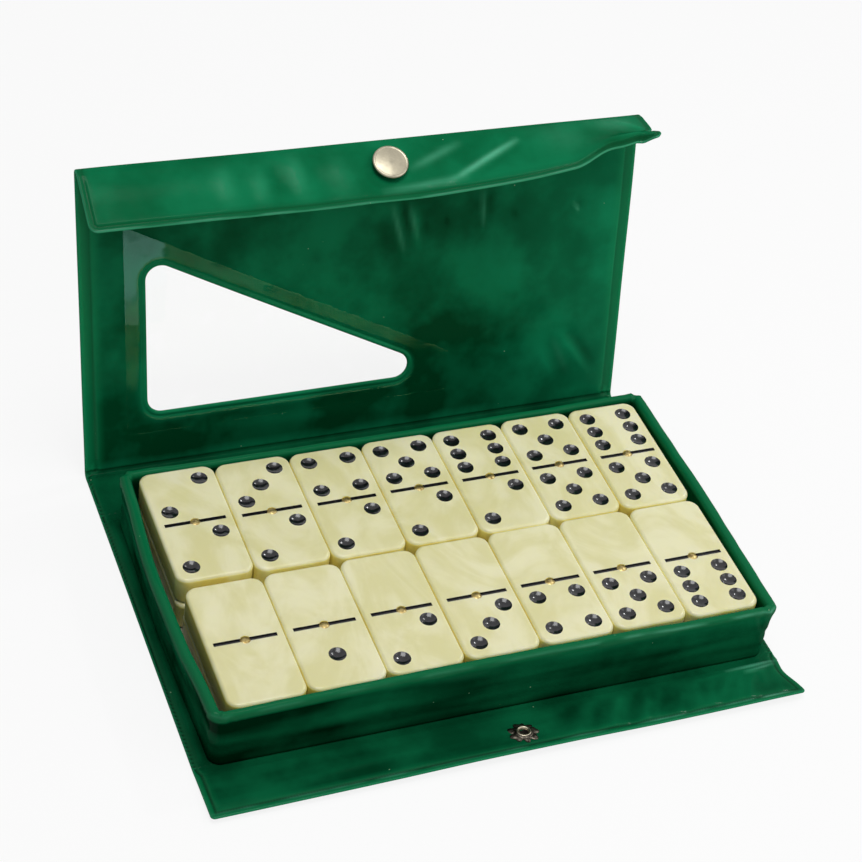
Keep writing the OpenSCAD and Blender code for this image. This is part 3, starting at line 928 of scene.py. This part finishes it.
def vinyl(name, dark, bright, through, cut_edge_highlight):
    """Soft vinyl with a fine grain, a slightly uneven colour and specks of dust.

    It shines where it is stretched or rolled, and where it is welded no card is behind it. Where
    the gloss mark is, its colour is also lightened as a painted highlight; the tone mark lightens
    and darkens it as painted light and painted shade, groove darkens it as painted shade and the
    cut edge is a painted highlight.
    """
    f = Finish(name)
    welded, cut, groove, tone, gloss = (
        f.node("ShaderNodeAttribute", out="Fac", attribute_name=mark) for mark in MARKS
    )
    cloud = f.noise(34, 4, roughness=0.55).step(0.34, 0.66)
    dust = 1 - f.cells(125).step(0.016, 0.034)
    plain = f.mix(cloud * 0.5 + tone + 0.25, dark, bright)
    # Painted highlight: the cut edge is lightened.
    edged = f.mix(cut * 0.8, f.mix(welded * 0.9, plain, through), cut_edge_highlight)
    # Painted highlight: the gloss mark lightens the colour towards a pale sheen; painted shade: the
    # groove mark darkens it.
    tinted = f.mix(gloss * 0.6, f.mix(groove * 0.85, edged, dark), (100, 196, 158))
    height = f.noise(2600, 2, roughness=0.6) * 0.6 + f.noise(420, 3) * 0.8
    broken = f.noise(700, 3).step(0.3, 0.6)
    return f.surface(
        Base_Color=f.mix(dust * 0.7, tinted, (150, 190, 150)),
        Roughness=f.noise(160, 4) * 0.14 + 0.2,
        Specular_IOR_Level=0.0,
        Coat_Weight=gloss * broken * 0.5 + welded * 0.08 + 0.04,
        Coat_Roughness=0.16,
        Normal=f.bump(height, 0.00012, 0.55),
    )


def card():
    f = Finish("grey_card")
    return f.surface(
        Base_Color=f.mix(f.noise(900, 4).step(0.3, 0.7), (150, 146, 136), (176, 172, 160)),
        Roughness=0.9,
        Normal=f.bump(f.noise(1800, 3), 0.0002, 0.4),
    )


def film(name, clearness):
    """Clear film. Only its reflections show, fainter and yellower where it sticks to the lining."""
    f = Finish(name)
    stuck = f.node("ShaderNodeAttribute", out="Fac", attribute_name="stuck")
    stuck = (stuck + f.noise(150, 4, roughness=0.6) * 0.8 - 0.4).step(0.46, 0.54)
    spots = f.noise(110, 3, roughness=0.6).step(0.56, 0.64)
    return f.surface(
        Base_Color=f.mix(stuck, (170, 240, 222), (168, 224, 154)),
        Metallic=1.0,
        Roughness=0.12,
        Alpha=clearness - stuck * clearness * 0.6 - spots * clearness * 0.3,
        Normal=f.bump(f.noise(45, 2), 0.002, 0.4),
    )


def resin(name, deep, pale):
    """Marbled ivory-yellow resin."""
    f = Finish(name)
    swirl = f.noise(42, 4, (1, 0.6, 1), roughness=0.55, distortion=1.6)
    cloud = f.noise(120, 3)
    marbled = f.mix((swirl * 0.8 + cloud * 0.2).step(0.38, 0.62), deep, pale)
    return f.surface(
        Base_Color=marbled,
        Roughness=f.noise(300, 3) * 0.08 + 0.16,
        Specular_IOR_Level=0.4,
        Subsurface_Weight=0.25,
        Subsurface_Radius=(0.004, 0.0035, 0.0012),
        Subsurface_Scale=1.0,
        Normal=f.bump(f.noise(220, 2), 0.0002, 0.25),
    )


def ink():
    f = Finish("pip_ink")
    return f.surface(
        Base_Color=f.mix(f.noise(700, 3).step(0.35, 0.7), (14, 13, 16), (31, 30, 35)),
        Roughness=0.16,
        Normal=f.bump(f.noise(900, 2), 0.0001, 0.4),
    )


def metal(name, bright, dull, roughness, scale=900):
    f = Finish(name)
    worn = f.noise(scale, 4, roughness=0.6)
    return f.surface(
        Base_Color=f.mix(worn.step(0.35, 0.7), bright, dull),
        Metallic=1.0,
        Roughness=worn * 0.15 + roughness,
        Normal=f.bump(f.noise(scale * 2, 2), 0.00005, 0.3),
    )


# Painted light: the lining is a darker, shaded copy of the green vinyl for the base, spine, tray
# and front flap, and a lighter, lit copy for the lid.
COVER = vinyl("cover_vinyl", (2, 84, 46), (18, 126, 82), (4, 96, 56), (50, 148, 106))
LIT_LID_LINING = vinyl(
    "lid_lining_vinyl", (2, 66, 36), (20, 138, 92), (20, 138, 86), (20, 134, 90)
)
SHADED_LINING = vinyl("lining_vinyl", (0, 40, 20), (13, 102, 64), (12, 106, 64), (24, 128, 84))
CARD = card()
CLEAR_FILM = film("clear_film", 0.02)
LAPPED_FILM = film("lapped_film", 0.065)
RESIN = resin("tile_resin", (224, 219, 164), (237, 233, 192))
# Painted light: a lighter, yellower copy of the resin for the tiles' sides.
GLOWING_SIDE_RESIN = resin("tile_side_resin", (248, 232, 132), (255, 247, 178))
INK = ink()
BRASS = metal("brass_pin", (178, 160, 108), (110, 92, 54), 0.3)
NICKEL = metal("polished_nickel", (158, 151, 132), (142, 136, 119), 0.24, 300)
BORE_SHADE = metal("bore_shade", (30, 27, 25), (14, 13, 12), 0.5, 700)
DARK_METAL = metal("blackened_brass", (96, 90, 80), (20, 18, 17), 0.3, 900)


def finish(piece, material, slot_name):
    piece.data.materials.clear()
    piece.data.materials.append(material)
    return piece


def lined(piece, lining):
    """Gives the inner face of a panel or strip the lining's finish."""
    mesh = piece.data
    mesh.materials.append(lining)
    inner = np.zeros(len(mesh.polygons), bool)
    mesh.attributes["inner"].data.foreach_get("value", inner)
    mesh.polygons.foreach_set("material_index", inner.astype(np.int32))
    return piece


# ---------- Building the cover ----------


def lid_relief(x, v):
    """Creases under the flap at its right, a few dents, and slanting folds at the lower right."""
    lines = [
        (9.5, 88, 13.5, 68, 1.3, 0.4), (13, 88, 16, 72, 1.2, -0.32), (16, 86, 18.5, 72, 1.3, 0.4),
        (20, 86, 22, 72, 1.6, -0.2), (5, 84, 9, 66, 2.2, -0.16), (41.5, 90, 42, 74, 1.0, 0.35),
        (44, 90, 44.5, 80, 1.6, -0.2), (77, 82, 78.5, 79, 1.2, -0.32),
        (75.6, 80, 77, 77.5, 0.8, 0.4), (53, 81, 54, 77, 1.1, -0.26),
        (28.5, 81, 29, 77, 1.1, -0.26), (46, 28, 54, 24, 1.6, 0.2),
        (70, 27, 77, 12, 2.0, -0.32), (74, 29, 86, 12, 1.6, 0.4), (79, 29, 89, 14, 1.6, -0.25),
        (66, 24, 72, 12, 1.6, 0.25), (-60, 12, 20, 9, 2.5, 0.2), (-30, 96, -29, 90, 1.2, 0.3),
    ]
    return 0.12 * ripple(x, v, 9, 22, 1.0) + wrinkles(x, v, lines)


def lid_gloss_and_painted_sheen(x, v):
    """Coat and painted highlights on the creases under the flap and beside the dent at the upper
    right.
    """
    return wrinkles(x, v, [
        (9, 87, 13.5, 70, 0.8, 0.24), (15.5, 86, 18, 74, 0.8, 0.2), (41.3, 89, 41.8, 76, 0.6, 0.24),
        (75.8, 80.6, 76.9, 77.8, 0.5, 0.5), (72, 27, 78, 13, 1.2, 0.12),
    ])


def lid_painted_light(x, v):
    """Painted light: lighter towards the right, and painted shade towards the lower left."""
    painted_shade = smooth((62 - v) / 45) * smooth((84 - x) / 50)
    return 0.32 * ramp(x, 30, 60) - 0.12 - 0.36 * painted_shade


# Lines on the lid's flap, raised as relief and given coat and painted highlights.
STREAKS = [
    (11.5, 11.8, 29, 5, 1.3, 0.4), (27, 16.6, 49, 6.8, 1.0, 1.0), (22, 18.4, 33, 14.6, 0.9, 0.3),
    (0, 19.4, 28, 17.6, 1.2, 0.4),
]
BANDS = [
    (-52, 5, -51, 17, 2.8, 0.13), (-40, 7, -40, 18, 2.2, 0.11), (-28, 3, -27, 17, 2.6, 0.14),
    (-14, 4, -12, 18, 3.0, 0.07), (58, 4, 72, 12, 6.0, 0.12), (78, 4, 92, 7, 4.0, 0.24),
]


def flap_relief(x, v):
    """Waves across the flap on the left of the snap, and slanting folds on its right."""
    lines = [
        *((*line[:5], 0.45 * line[5]) for line in STREAKS),
        (31, 18.6, 50, 9, 1.6, -0.22), (76, 19.5, 84, 21, 0.8, -0.3), (80, 17.5, 92, 19, 1.0, 0.4),
        (86, 4, 95, 12, 1.1, 0.5), (82, 8, 93, 17, 1.2, -0.3),
        *((*line[:4], 1.3 * line[4], 2.6 * line[5]) for line in BANDS[:4]),
    ]
    soft = 0.08 * ripple(x, v, 9, 16, 8.0) + 0.08 * ripple(x, v, 24, 9, 3.0, 1)
    return soft + wrinkles(x, v, lines)


def flap_gloss_and_painted_sheen(x, v):
    """Coat and painted highlights on the folds, and a broken painted highlight along the rounded
    free edge.
    """
    rim = hill((LID_FLAP_LEN - v - 0.45) / 0.3) * smooth(0.9 * ripple(x, v, 12, 30, 5.3) + 0.6)
    return wrinkles(x, v, STREAKS) + wrinkles(x, v, BANDS) + 0.4 * rim


def front_painted_light(x, v):
    """Painted light: brighter towards the right end."""
    return 0.3 * ramp(x, 60, 30)


def front_gloss_and_painted_sheen(x, v):
    """Coat and broken painted highlights on the roll by the free edge, and on the folds by the
    right end.
    """
    roll = hill((FRONT_FLAP_LEN - v - 1.5) / 0.4) * smooth(0.9 * ripple(x, v, 9, 30, 3.3) + 0.5)
    folds = wrinkles(x, v, [(78, 3.0, 96, 2.2, 0.6, 0.7), (84, 4.6, 95, 3.6, 0.5, 0.6)])
    return roll * (0.35 + 0.5 * ramp(x, 30, 40)) + folds


def front_relief(x, v):
    """Waves along the flap on its left, across it on its right, and folds by its right end."""
    right = ramp(x, 5, 30)
    along = 0.3 * (1 - right) * ripple(x, v, 34, 4.2, 6.5, 2)
    across = 0.5 * right * ripple(x + 0.4 * v, v, 6.0, 12, 2.5, 2)
    lines = [
        (66, 4.5, 80, 3.2, 0.7, 0.35), (80, 3.4, 88, 5.0, 0.7, 0.45), (86, 2.6, 95, 5.5, 0.7, -0.4),
        (88, 6, 95, 3.5, 0.6, 0.4),
    ]
    return along + across + wrinkles(x, v, lines)


def base_relief(x, v):
    """The bead where the tray's wrap is welded to the lining beside the tray."""
    gap = np.minimum(np.abs(x - TRAY_LOW[0] + 2.3), np.abs(x - TRAY_HIGH[0] - 1.9))
    bead = 0.4 * hill(gap / 0.7) * (1 + 0.5 * ripple(x, v, 9, 9, 5.0, 1))
    return calm_relief(x, v) + bead


def calm_relief(x, v):
    return 0.1 * ripple(x, v, 16, 16, 9.0, 1)


base = Panel("base_cover", "case_base", base_place, BASE_LEN, None, BOARD_WELD_W, PANEL_T, 1.6)
spine = Panel("spine_cover", "spine", spine_place, SPINE_LEN, None, BOARD_WELD_W, PANEL_T, 2.0)
lid = Panel("lid_cover", "lid", lid_place, LID_LEN, None, LID_WELD_W, PANEL_T, 1.2, window=True)
lid_flap = Panel("lid_flap_cover", "lid_flap", lid_flap_place, LID_FLAP_LEN, LID_FLAP_R,
                 FLAP_WELD_W, FLAP_T, 0.9)
front_flap = Panel("front_flap_cover", "front_flap", front_flap_place, FRONT_FLAP_LEN,
                   FRONT_FLAP_R, FLAP_WELD_W, FLAP_T, 0.9)

for panel, surface, lining in (
    (base, {"relief": base_relief}, SHADED_LINING),
    (spine, {}, SHADED_LINING),
    (lid, {"relief": lid_relief, "tone": lid_painted_light, "gloss": lid_gloss_and_painted_sheen}, LIT_LID_LINING),
    (lid_flap, {"back_relief": flap_relief, "back_gloss_and_painted_sheen": flap_gloss_and_painted_sheen}, COVER),
    (front_flap, {"relief": front_relief, "tone": front_painted_light, "gloss": front_gloss_and_painted_sheen}, SHADED_LINING),
):
    piece = panel.build(**{"relief": calm_relief, "back_relief": calm_relief, **surface})
    nodes = (panel.name.replace("cover", layer) for layer in ("outer_skin", "lining"))
    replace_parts(lined(finish(piece, COVER, "cover_vinyl"), lining), *nodes)

for panel, step, name, node in (
    (lid, 3.0, "lid_card", "lid_board"),
    (lid_flap, 0.9, "lid_flap_card", "lid_flap_stiffener"),
    (front_flap, 2.0, "front_flap_card", "front_flap_stiffener"),
):
    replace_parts(finish(panel.card(name, step), CARD, "card"), node)

sheet = finish(window_sheet(), CLEAR_FILM, "window_film")
sheet.data.materials.append(LAPPED_FILM)
middles = np.array([face.center for face in sheet.data.polygons]) / MM
up_lid = np.linalg.norm(middles[:, 1:] - LID_CREASE, axis=1)
lapped = window_distance(middles[:, 0], up_lid) > 0.8
sheet.data.polygons.foreach_set("material_index", lapped.astype(np.int32))

tray_cover = swept_wall("tray_cover", tray_section(0.0, 0.9))
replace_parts(finish(tray_cover, SHADED_LINING, "cover_vinyl"), "tray_wrap")
wall_card = swept_wall("tray_wall_card", tray_section(SKIN_T + 0.25, 3.0, with_detail=False))
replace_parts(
    finish(wall_card, CARD, "card"),
    "tray_front_wall", "tray_back_wall", "tray_left_wall", "tray_right_wall",
)


# ---------- Building the strips that bend ----------


def constant(value):
    return lambda x: np.full(len(x), float(value))


def straight(origin):
    return lambda x: np.tile(origin, (len(x), 1))


def strip_between(line, before, turn):
    def place(x, s, n):
        return bent_strip(line(x), before, np.maximum(turn(x), LEAST_TURN), x, s, n)
    return place


BEHIND, IN_FRONT = np.array((1, 1)), np.array((-1, 1))
strips = [
    ("back_crease", base, spine, BACK_CREASE, 0.0, constant(0), BEHIND),
    ("lid_crease", spine, lid, LID_CREASE, 0.0, constant(LID_ANGLE), BEHIND),
    ("fold_crease", lid, lid_flap, FOLD_CREASE, LID_ANGLE, lid_flap_fold, BEHIND),
    ("front_crease", base, front_flap, FRONT_CREASE, 0.0, front_flap_rise, IN_FRONT),
]
for name, first, second, origin, before, turn, side in strips:
    line = fold_line if first is lid else straight(origin * side)
    place = strip_between(line, before, turn)
    if side is IN_FRONT:
        place = mirrored(place)
    after = before + float(turn(np.array([SNAP_X]))[0])
    start, end = (
        np.array([0, *(origin + reach * heading(angle)[0] * side)])
        for reach, angle in ((-CREASE_HALF, before), (CREASE_HALF, after))
    )
    piece = crease_strip(name, first, second, place)
    lined(finish(piece, COVER, "cover_vinyl"), LIT_LID_LINING if first is lid else SHADED_LINING)


# ---------- Snap and boards ----------


def eyelet(name):
    """The front flap's eyelet: a rolled tube, and round it prongs that the press has flattened."""
    tube = [
        (0.0, 0.05), (1.35, 0.05), (1.5, 0.15), (1.52, 0.6), (1.68, 0.86), (2.0, 0.96),
        (2.32, 0.86), (2.55, 0.6), (2.75, 0.36),
    ]
    root_r, root_h = tube[-1]
    angles = np.linspace(0, 2 * np.pi, 126, endpoint=False)
    prongs = np.abs(np.cos(3.5 * angles + 0.5 * np.sin(angles) + 0.4 * np.sin(3 * angles + 2)))
    reach = 3.2 + 1.3 * prongs**0.4 + 0.4 * np.sin(2 * angles + 1) + 0.3 * np.sin(9 * angles)
    rows = [*tube]
    for share in (0.15, 0.35, 0.55, 0.75, 0.9, 1.0):
        bulge = 0.16 * np.sin(np.pi * share) * prongs + 0.1 * share * np.sin(3 * angles)
        height = root_h * (1 - 0.75 * share**2) + bulge * (1 - share)
        rows.append((root_r + share * (reach - root_r), height))
    rows += [(reach, -0.05), (0.0, -0.05)]
    radius, height = (
        np.concatenate([np.broadcast_to(values, len(angles)) for values in part])
        for part in zip(*rows)
    )
    around = np.tile(angles, len(rows))
    x, v = SNAP_X + radius * np.cos(around), SNAP_REACH + radius * np.sin(around)
    points = front_flap_place(x, v, INNER_FACE + height)
    made = make_mesh(name, points, grid_faces(len(rows), len(angles), wrap_columns=True))
    finish(made, DARK_METAL, "snap_metal")
    for material in (NICKEL, BORE_SHADE):
        made.data.materials.append(material)
    middle = front_flap_place(*np.array([[SNAP_X], [SNAP_REACH], [INNER_FACE]]))[0]
    # Painted shade: the closed middle of the tube gets the dark bore finish where the hole is.
    for face in made.data.polygons:
        out = math.dist(face.center / MM, middle)
        face.material_index = 2 if out < 1.55 else 1 if out < 2.5 else 0
    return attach(made, "front_flap")


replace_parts(eyelet("eyelet"), "snap_eyelet")

for node, material, slot_name in (
    ("base_board", CARD, "card"), ("spine_board", CARD, "card"), ("tray_floor_card", CARD, "card"),
    ("snap_cap", NICKEL, "snap_cap"), ("snap_socket", DARK_METAL, "snap_metal"),
    ("snap_stud", DARK_METAL, "snap_metal"),
):
    finish(frame["nodes"][node], material, slot_name)


# ---------- Dominoes ----------

TILE_T = 10.0
HALF_TILE = 12.5  # from the middle of a tile to the middle of each of its squares
PIN_R = 1.6
PIN_DEPTH = 5.5
SUNK_REACH = 10.2  # from the middle of a square to the outermost pip's edge
SUNK_DEPTH = 0.9
UPRIGHT = 0.45  # a face whose normal rises less than this is on a tile's side


def finish_tile(name):
    """Resin for the body, a lighter, yellower copy on its sides as painted light, ink for pips and
    groove, brass for the pin.
    """
    node = frame["nodes"][name]
    low, high = node_box(name)
    middle, face_z = (low + high) / 2, low[2] + TILE_T
    mesh = node.data
    mesh.materials.clear()
    for material in (RESIN, INK, BRASS, GLOWING_SIDE_RESIN):
        mesh.materials.append(material)
    centres, normals = (np.zeros(3 * len(mesh.polygons), np.float32) for _ in range(2))
    mesh.polygons.foreach_get("center", centres)
    mesh.polygons.foreach_get("normal", normals)
    upright = np.abs(normals[2::3]) < UPRIGHT
    x, y, z = (centres.reshape(-1, 3) / MM - (middle[0], middle[1], face_z)).T
    in_reach = (np.abs(x) < SUNK_REACH) & (np.abs(y) < SUNK_REACH + HALF_TILE)
    sunk = (z < -0.02) & (z > -SUNK_DEPTH) & in_reach
    pin = (np.hypot(x, y) < PIN_R + 0.01) & (z > -PIN_DEPTH)
    indices = np.select([pin, sunk, upright], [2, 1, 3], 0).astype(np.int32)
    mesh.polygons.foreach_set("material_index", indices)


for name in frame["nodes"]:
    if name.startswith("tile_"):
        finish_tile(name)


# ---------- Floor, light and camera ----------

FLOOR_SIZE = 30.0
bpy.ops.mesh.primitive_plane_add(size=FLOOR_SIZE, location=(0, 0, 0))
floor = bpy.context.object
floor.name = "floor"


class Surround(Finish):
    """Finish of what is around the object, whose tree may belong to the world."""

    def __init__(self, owner):
        owner.use_nodes = True
        self.tree = owner.node_tree
        self.tree.nodes.clear()

    def seen_ray(self):
        """1 where a ray comes from the camera, a reflection or something clear, or else 0."""
        rays = [
            self.node("ShaderNodeLightPath", out=ray)
            for ray in ("Is Camera Ray", "Is Glossy Ray", "Is Transmission Ray")
        ]
        return rays[0].maths("ADD", rays[0] + rays[1], rays[2], clamp=True)


WHITE = (1.0, 1.0, 1.0, 1.0)
PALE = (0.86, 0.86, 0.86, 1.0)
AMBIENT = 0.19
FLOOR_GLOW = 0.86  # share of the floor that is plain white; the rest shows the shadow

floor_material = bpy.data.materials.new("pale_floor")
floor_white = Surround(floor_material)
lit = floor_white.node("ShaderNodeBsdfDiffuse", {"Color": PALE})
glow = floor_white.node("ShaderNodeEmission", {"Color": WHITE, "Strength": 1.0})
glow_share = floor_white.seen_ray() * FLOOR_GLOW
blend_in = floor_white.node("ShaderNodeMixShader", {0: glow_share, 1: lit, 2: glow})
floor_white.node("ShaderNodeOutputMaterial", {"Surface": blend_in}, out=None)
floor.data.materials.append(floor_material)

world = bpy.data.worlds.new("studio")
bpy.context.scene.world = world
studio = Surround(world)
strength = studio.seen_ray() * (1 - AMBIENT) + AMBIENT
background = studio.node("ShaderNodeBackground", {"Color": WHITE, "Strength": strength})
studio.node("ShaderNodeOutputWorld", {"Surface": background}, out=None)


OBJECT_MIDDLE = Vector((0, 0, 0.04))
for name, power, size, position in (
    ("overhead_key", 8.5, 0.6, (-0.05, -0.1, 1.3)),
    ("right_back", 1.6, 0.08, (0.75, 0.4, 0.85)),
    ("right_front", 1.6, 0.65, (0.5, -0.35, 0.45)),
    ("front_fill", 0.6, 1.0, (-0.4, -1.2, 0.7)),
):
    lamp_data = bpy.data.lights.new(name, "AREA")
    lamp_data.energy, lamp_data.size = power, size
    lamp = bpy.data.objects.new(name, lamp_data)
    lamp.location = position
    aim = OBJECT_MIDDLE - Vector(position)
    lamp.rotation_euler = aim.to_track_quat("-Z", "Y").to_euler()
    bpy.context.scene.collection.objects.link(lamp)

CAMERA_PLACE = (-0.23832, -0.45915, 0.51392)
CAMERA_AZIMUTH = 26.3707
CAMERA_ELEVATION = -40.8191
CAMERA_ROLL = 9.0964
CAMERA_LENS = 93.31
CAMERA_SENSOR_W = 36.0
azimuth, elevation, roll = np.radians((CAMERA_AZIMUTH, CAMERA_ELEVATION, CAMERA_ROLL)).tolist()
level_ahead = Vector((math.sin(azimuth), math.cos(azimuth), 0))
ahead = math.cos(elevation) * level_ahead + math.sin(elevation) * Vector((0, 0, 1))
level_right = Vector((math.cos(azimuth), -math.sin(azimuth), 0))
right = math.cos(roll) * level_right + math.sin(roll) * level_right.cross(ahead)
up = right.cross(ahead)
camera_data = bpy.data.cameras.new("camera")
camera_data.lens, camera_data.sensor_width = CAMERA_LENS, CAMERA_SENSOR_W
camera = bpy.data.objects.new("camera", camera_data)
turned = Matrix((right, up, -ahead)).transposed().to_4x4()
camera.matrix_world = Matrix.Translation(CAMERA_PLACE) @ turned
bpy.context.scene.collection.objects.link(camera)
bpy.context.scene.camera = camera
bpy.context.scene.view_settings.view_transform = "Standard"
